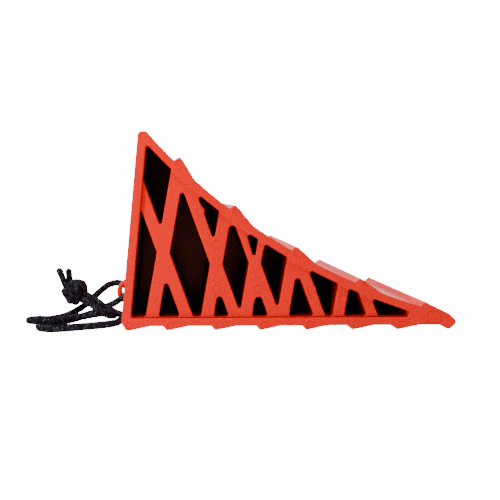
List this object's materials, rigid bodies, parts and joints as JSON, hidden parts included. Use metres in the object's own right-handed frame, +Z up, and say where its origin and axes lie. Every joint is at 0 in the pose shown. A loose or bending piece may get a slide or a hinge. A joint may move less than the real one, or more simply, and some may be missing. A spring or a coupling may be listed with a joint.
{
  "type": "wheel chock",
  "caption": "Moulded wedge wheel chock with cross-braced sides, a curved cleated ramp, a saw-toothed base and a knotted rope loop through a lug on its back wall.",
  "frame": {"origin": "on the ground under the middle of the moulding's length and width", "axes": "+X along the wedge towards the toe, +Y across its width, +Z up from the ground"},
  "size_m": [0.3303, 0.1198, 0.1518],
  "materials": {
    "red_plastic": "satin moulded, fine grain",
    "black_braid": "braided cord with grey fleck"
  },
  "bodies": {
    "root": {"chock_body": "red_plastic", "rope_far_strand": "black_braid", "rope_near_strand": "black_braid", "rope_knot": "black_braid", "rope_long_tail": "black_braid", "rope_short_tail": "black_braid"}
  },
  "joints": []
}
